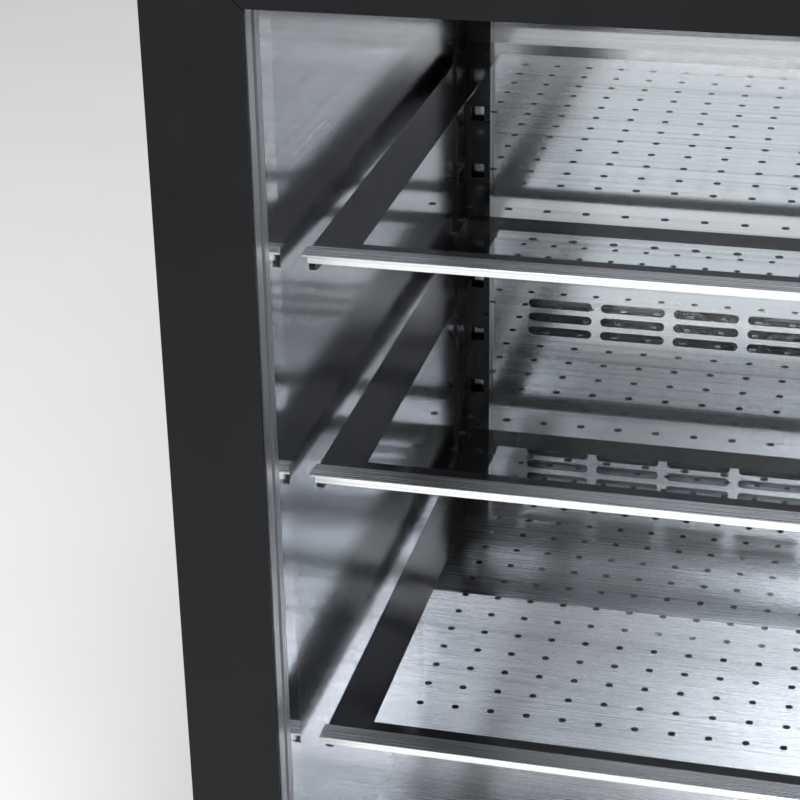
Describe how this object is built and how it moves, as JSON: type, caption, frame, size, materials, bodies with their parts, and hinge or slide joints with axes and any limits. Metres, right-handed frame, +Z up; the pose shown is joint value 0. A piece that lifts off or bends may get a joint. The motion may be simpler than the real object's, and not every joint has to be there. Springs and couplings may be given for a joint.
{
  "type": "glass door merchandiser",
  "caption": "Undercounter refrigerated display cabinet with a hinged glass door in a black mitred frame, glass shelves on cantilever brackets and a rear compressor step.",
  "frame": {"origin": "bottom centre of the cabinet and its handle, on the ground", "axes": "+Z up, the door faces -Y, +X to the right seen from the front"},
  "size_m": [0.6, 0.716, 0.91],
  "materials": {
    "black_frame": "black powder coat, fine satin",
    "galvanised": "galvanised sheet",
    "foam": "rigid polyurethane foam",
    "stainless": "brushed stainless sheet, fine grain",
    "polished_steel": "polished stainless",
    "black_rack": "gloss black coat",
    "shelf_glass": "clear toughened glass with a black printed border",
    "trim_aluminium": "brushed aluminium",
    "door_glass": "clear toughened glass",
    "gasket_rubber": "soft magnetic gasket",
    "plated": "nickel plated",
    "diffuser": "opal diffuser",
    "fins": "thin aluminium fins and tubes",
    "black_plastic": "moulded black plastic",
    "grey_plastic": "moulded grey plastic",
    "compressor_black": "black enamel",
    "motor_steel": "grey painted casing",
    "copper": "copper tube",
    "green_plastic": "translucent green rocker",
    "foot_plastic": "nylon foot with steel stud"
  },
  "bodies": {
    "cabinet": {"side_panel_left": "black_frame", "side_panel_right": "black_frame", "top_panel": "black_frame", "back_panel": "galvanised", "base_frame": "galvanised", "kick_panel": "black_frame", "rear_grille": "galvanised", "insulation": "foam", "liner_left": "stainless", "liner_right": "stainless", "liner_ceiling": "stainless", "liner_floor": "stainless", "duct_panel": "stainless", "breaker_frame": "polished_steel", "rack_left": "black_rack", "rack_right": "black_rack", "brackets_left": "black_rack", "brackets_right": "black_rack", "hinge_top": "black_frame", "hinge_bottom": "black_frame", "light_channel": "trim_aluminium", "light_diffuser": "diffuser", "evaporator_coil": "fins", "evaporator_fan_frame": "black_plastic", "drip_tray": "stainless", "drain_tube": "grey_plastic", "compressor": "compressor_black", "condenser_coil": "compressor_black", "condenser_shroud": "galvanised", "condenser_fan_motor": "motor_steel", "refrigerant_pipes": "copper", "power_inlet": "black_plastic", "controller": "black_plastic"},
    "door": {"door_stile_left": "black_frame", "door_stile_right": "black_frame", "door_rail_top": "black_frame", "door_rail_bottom": "black_frame", "door_glass_outer": "door_glass", "door_glass_inner": "door_glass", "door_spacer": "trim_aluminium", "door_bead": "trim_aluminium", "door_gasket": "gasket_rubber", "door_handle": "black_frame"},
    "lock_barrel": {"door_lock": "plated"},
    "shelf_1": {"shelf_1_glass": "shelf_glass", "shelf_1_trim": "trim_aluminium"},
    "shelf_2": {"shelf_2_glass": "shelf_glass", "shelf_2_trim": "trim_aluminium"},
    "shelf_3": {"shelf_3_glass": "shelf_glass", "shelf_3_trim": "trim_aluminium"},
    "evaporator_fan": {"evaporator_fan_blade": "black_plastic"},
    "condenser_fan": {"condenser_fan_blade": "fins"},
    "up_button": {"button_up": "grey_plastic"},
    "down_button": {"button_down": "grey_plastic"},
    "set_button": {"button_set": "grey_plastic"},
    "switch_rocker": {"light_switch": "green_plastic"},
    "front_left_foot": {"foot_front_left": "foot_plastic"},
    "front_right_foot": {"foot_front_right": "foot_plastic"},
    "rear_left_foot": {"foot_rear_left": "foot_plastic"},
    "rear_right_foot": {"foot_rear_right": "foot_plastic"}
  },
  "joints": [
    {"name": "door_swing", "type": "hinge", "parent": "cabinet", "child": "door", "pos_m": [-0.284, -0.3, 0.496], "axis": [0, 0, -1], "range_deg": [0, 110]},
    {"name": "shelf_1_lift", "type": "slide", "parent": "cabinet", "child": "shelf_1", "axis": [0, 0, 1], "range_m": [0, 0.02]},
    {"name": "shelf_2_lift", "type": "slide", "parent": "cabinet", "child": "shelf_2", "axis": [0, 0, 1], "range_m": [0, 0.02]},
    {"name": "shelf_3_lift", "type": "slide", "parent": "cabinet", "child": "shelf_3", "axis": [0, 0, 1], "range_m": [0, 0.02]},
    {"name": "evaporator_fan_spin", "type": "hinge", "parent": "cabinet", "child": "evaporator_fan", "pos_m": [0, 0.2865, 0.424], "axis": [0, 1, 0], "continuous": true},
    {"name": "condenser_fan_spin", "type": "hinge", "parent": "cabinet", "child": "condenser_fan", "pos_m": [0.15, 0.2175, 0.124], "axis": [0, 1, 0], "continuous": true},
    {"name": "up_button_press", "type": "slide", "parent": "cabinet", "child": "up_button", "axis": [0, 1, 0], "range_m": [0, 0.0015], "stiffness_N_per_m": 200},
    {"name": "down_button_press", "type": "slide", "parent": "cabinet", "child": "down_button", "axis": [0, 1, 0], "range_m": [0, 0.0015], "stiffness_N_per_m": 200},
    {"name": "set_button_press", "type": "slide", "parent": "cabinet", "child": "set_button", "axis": [0, 1, 0], "range_m": [0, 0.0015], "stiffness_N_per_m": 200},
    {"name": "light_switch_rock", "type": "hinge", "parent": "cabinet", "child": "switch_rocker", "pos_m": [0.128, -0.298, 0.06], "axis": [0, 0, -1], "range_deg": [0, 12]},
    {"name": "lock_turn", "type": "hinge", "parent": "door", "child": "lock_barrel", "pos_m": [0.264, -0.3, 0.108], "axis": [0, 1, 0], "range_deg": [0, 90]},
    {"name": "front_left_foot_turn", "type": "hinge", "parent": "cabinet", "child": "front_left_foot", "pos_m": [-0.255, -0.232, 0.02], "axis": [0, 0, 1], "continuous": true},
    {"name": "front_right_foot_turn", "type": "hinge", "parent": "cabinet", "child": "front_right_foot", "pos_m": [0.255, -0.232, 0.02], "axis": [0, 0, 1], "continuous": true},
    {"name": "rear_left_foot_turn", "type": "hinge", "parent": "cabinet", "child": "rear_left_foot", "pos_m": [-0.255, 0.313, 0.02], "axis": [0, 0, 1], "continuous": true},
    {"name": "rear_right_foot_turn", "type": "hinge", "parent": "cabinet", "child": "rear_right_foot", "pos_m": [0.255, 0.313, 0.02], "axis": [0, 0, 1], "continuous": true}
  ]
}
